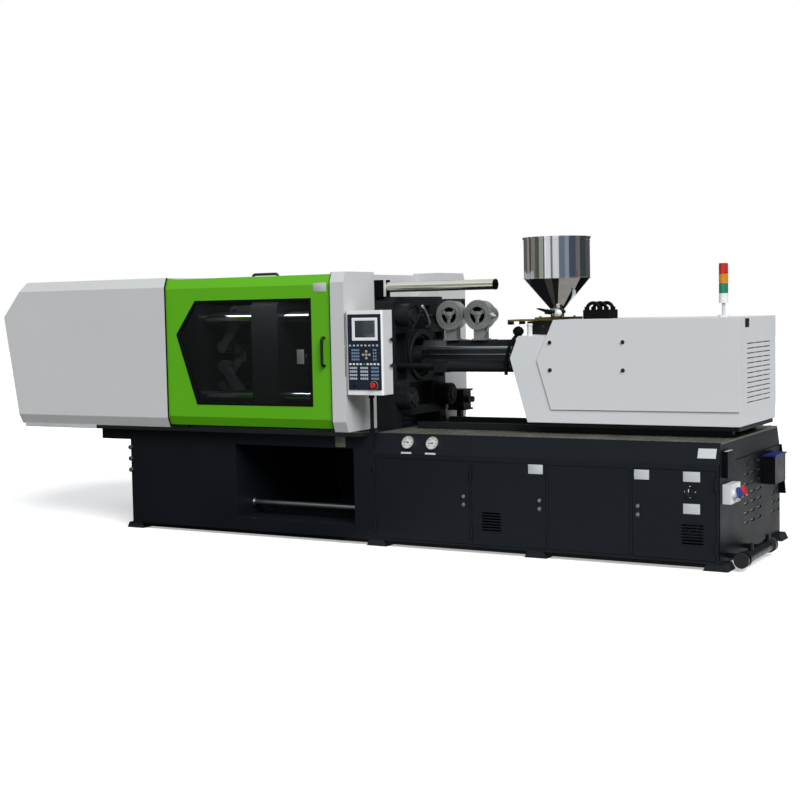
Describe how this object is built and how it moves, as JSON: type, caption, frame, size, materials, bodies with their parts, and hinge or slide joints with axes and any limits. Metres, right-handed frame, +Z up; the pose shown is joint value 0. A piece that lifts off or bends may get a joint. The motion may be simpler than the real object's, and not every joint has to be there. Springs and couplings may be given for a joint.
{
  "type": "injection moulding machine",
  "caption": "Horizontal injection moulding machine: guarded toggle clamp with a sliding windowed door, injection unit on a carriage, steel hopper and a cabinet base.",
  "frame": {"origin": "on the floor, under the middle of the machine", "axes": "+X along the machine axis to the injection end, -Y to the operator, +Z up"},
  "size_m": [6.24, 1.732, 2.205],
  "materials": {
    "off_white_paint": "fine textured powder coat, off-white",
    "green_paint": "gloss green enamel",
    "dark_base_paint": "textured dark blue-grey powder coat",
    "dark_tread": "dark painted ribbed tread plate",
    "cast_dark": "painted ductile iron casting",
    "link_iron": "machined ductile iron",
    "hard_chrome": "ground and hard chromed bar",
    "steel": "machined steel",
    "stainless": "polished stainless sheet",
    "barrel_sheet": "dark metallic sheet",
    "blower_cast": "grey die-cast aluminium",
    "zinc_yellow": "yellow passivated zinc plate",
    "tinted_pane": "smoke tinted polycarbonate pane",
    "black_plastic": "moulded black nylon",
    "black_rubber": "black hose rubber",
    "panel_grey": "light grey powder coat",
    "key_panel_plastic": "moulded panel with membrane keys",
    "gauge": "chromed gauge case",
    "socket_white": "moulded white socket box with coloured lids",
    "lens": "coloured signal lenses",
    "switch_red": "moulded red plastic",
    "motor_paint": "blue-grey machine enamel"
  },
  "bodies": {
    "frame": {"clamp_base": "dark_base_paint", "injection_base": "dark_base_paint", "levelling_pads": "cast_dark", "tread_deck": "dark_tread", "fascia_covers": "dark_base_paint", "pressure_gauges": "gauge", "end_panel": "dark_base_paint", "socket_station": "socket_white", "junction_box": "black_plastic", "oil_cooler": "steel", "clamp_hood": "off_white_paint", "column_covers": "off_white_paint", "door_rails": "steel", "control_box": "panel_grey", "key_panel": "key_panel_plastic", "panel_conduit": "black_rubber", "stationary_platen": "cast_dark", "tie_bars": "hard_chrome", "tie_bar_nuts": "cast_dark", "safety_tube": "hard_chrome", "carriage_rails": "steel", "valve_block": "cast_dark", "pump_motor": "motor_paint", "switchgear": "panel_grey"},
    "front_door": {"front_door": "green_paint", "front_window": "tinted_pane", "front_handle": "black_plastic"},
    "rear_door": {"rear_door": "off_white_paint"},
    "top_guard": {"top_guard": "off_white_paint"},
    "tail": {"tail_platen": "cast_dark", "clamp_cylinder": "cast_dark"},
    "moving": {"moving_platen": "cast_dark", "safety_bar": "hard_chrome"},
    "ejector": {"ejector_rod": "hard_chrome"},
    "rear_link_upper": {"rear_link_upper": "link_iron"},
    "rear_link_lower": {"rear_link_lower": "link_iron"},
    "front_link_upper": {"front_link_upper": "link_iron"},
    "front_link_lower": {"front_link_lower": "link_iron"},
    "crosshead": {"crosshead": "link_iron"},
    "cross_link_upper": {"cross_link_upper": "link_iron"},
    "cross_link_lower": {"cross_link_lower": "link_iron"},
    "carriage": {"carriage": "cast_dark", "pull_cylinders": "cast_dark", "barrel": "steel", "barrel_cover": "barrel_sheet", "blower_casings": "blower_cast", "injection_cover": "off_white_paint", "hopper_seat": "zinc_yellow", "hose_set": "black_rubber", "light_tower": "lens"},
    "hopper": {"hopper": "stainless"},
    "screw_drive": {"screw_drive": "motor_paint"},
    "screw": {"screw": "hard_chrome"},
    "impeller_1": {"impeller_1": "steel"},
    "impeller_2": {"impeller_2": "steel"},
    "cabinet_door_1": {"cabinet_door_1": "dark_base_paint"},
    "cabinet_door_2": {"cabinet_door_2": "dark_base_paint"},
    "cabinet_door_4": {"cabinet_door_4": "dark_base_paint"},
    "main_switch": {"main_switch": "black_plastic"},
    "estop": {"estop_button": "switch_red"}
  },
  "joints": [
    {"name": "front_door_slide", "type": "slide", "parent": "frame", "child": "front_door", "axis": [-1, 0, 0], "range_m": [0, 1.36]},
    {"name": "rear_door_slide", "type": "slide", "parent": "frame", "child": "rear_door", "axis": [-1, 0, 0], "range_m": [0, 1.36]},
    {"name": "top_guard_slide", "type": "slide", "parent": "frame", "child": "top_guard", "axis": [-1, 0, 0], "range_m": [0, 0.7]},
    {"name": "mould_height", "type": "slide", "parent": "frame", "child": "tail", "axis": [1, 0, 0], "range_m": [-0.3, 0.02]},
    {"name": "clamp_stroke", "type": "slide", "parent": "tail", "child": "moving", "axis": [1, 0, 0], "range_m": [0, 0.54]},
    {"name": "ejector_stroke", "type": "slide", "parent": "moving", "child": "ejector", "axis": [1, 0, 0], "range_m": [0, 0.12]},
    {"name": "rear_link_upper_turn", "type": "hinge", "parent": "tail", "child": "rear_link_upper", "pos_m": [-1.225, 0, 1.715], "axis": [0, -1, 0], "range_deg": [0, 110.49]},
    {"name": "rear_link_lower_turn", "type": "hinge", "parent": "tail", "child": "rear_link_lower", "pos_m": [-1.225, 0, 0.995], "axis": [0, 1, 0], "range_deg": [0, 110.49]},
    {"name": "front_link_upper_turn", "type": "hinge", "parent": "moving", "child": "front_link_upper", "pos_m": [-1.105, 0, 1.715], "axis": [0, 1, 0], "range_deg": [0, 51.32]},
    {"name": "front_link_lower_turn", "type": "hinge", "parent": "moving", "child": "front_link_lower", "pos_m": [-1.105, 0, 0.995], "axis": [0, -1, 0], "range_deg": [0, 51.32]},
    {"name": "crosshead_stroke", "type": "slide", "parent": "tail", "child": "crosshead", "axis": [1, 0, 0], "range_m": [0, 0.28]},
    {"name": "cross_link_upper_turn", "type": "hinge", "parent": "crosshead", "child": "cross_link_upper", "pos_m": [-1.24863, 0, 1.415], "axis": [0, 1, 0], "range_deg": [0, 14.52]},
    {"name": "cross_link_lower_turn", "type": "hinge", "parent": "crosshead", "child": "cross_link_lower", "pos_m": [-1.24863, 0, 1.295], "axis": [0, -1, 0], "range_deg": [0, 14.52]},
    {"name": "carriage_travel", "type": "slide", "parent": "frame", "child": "carriage", "axis": [1, 0, 0], "range_m": [-0.03, 0.35]},
    {"name": "screw_stroke", "type": "slide", "parent": "carriage", "child": "screw_drive", "axis": [1, 0, 0], "range_m": [0, 0.24]},
    {"name": "screw_turn", "type": "hinge", "parent": "screw_drive", "child": "screw", "pos_m": [1.585, 0, 1.355], "axis": [1, 0, 0], "continuous": true},
    {"name": "hopper_travel", "type": "slide", "parent": "carriage", "child": "hopper", "axis": [-1, 0, 0], "range_m": [0, 0.22]},
    {"name": "impeller_1_turn", "type": "hinge", "parent": "carriage", "child": "impeller_1", "pos_m": [0.726, 0, 1.656], "axis": [0, 1, 0], "continuous": true},
    {"name": "impeller_2_turn", "type": "hinge", "parent": "carriage", "child": "impeller_2", "pos_m": [0.962, 0, 1.656], "axis": [0, 1, 0], "continuous": true},
    {"name": "cabinet_door_1_hinge", "type": "hinge", "parent": "frame", "child": "cabinet_door_1", "pos_m": [0.397, -0.7435, 0.35], "axis": [0, 0, -1], "range_deg": [0, 110]},
    {"name": "cabinet_door_2_hinge", "type": "hinge", "parent": "frame", "child": "cabinet_door_2", "pos_m": [1.178, -0.7435, 0.35], "axis": [0, 0, -1], "range_deg": [0, 110]},
    {"name": "cabinet_door_4_hinge", "type": "hinge", "parent": "frame", "child": "cabinet_door_4", "pos_m": [2.922, -0.7435, 0.35], "axis": [0, 0, 1], "range_deg": [0, 110]},
    {"name": "main_switch_turn", "type": "hinge", "parent": "cabinet_door_4", "child": "main_switch", "pos_m": [2.752, -0.74, 0.505], "axis": [0, -1, 0], "range_deg": [0, 90]},
    {"name": "estop_push", "type": "slide", "parent": "frame", "child": "estop", "axis": [0, 1, 0], "range_m": [0, 0.006]}
  ],
  "couplings": [
    {"joint": "rear_link_upper_turn", "follows": "clamp_stroke", "rad_per_m": 3.5711},
    {"joint": "rear_link_lower_turn", "follows": "clamp_stroke", "rad_per_m": 3.5711},
    {"joint": "front_link_upper_turn", "follows": "clamp_stroke", "rad_per_m": 1.6586},
    {"joint": "front_link_lower_turn", "follows": "clamp_stroke", "rad_per_m": 1.6586},
    {"joint": "crosshead_stroke", "follows": "clamp_stroke", "ratio": 0.51852},
    {"joint": "cross_link_upper_turn", "follows": "clamp_stroke", "rad_per_m": 0.46945},
    {"joint": "cross_link_lower_turn", "follows": "clamp_stroke", "rad_per_m": 0.46945}
  ]
}
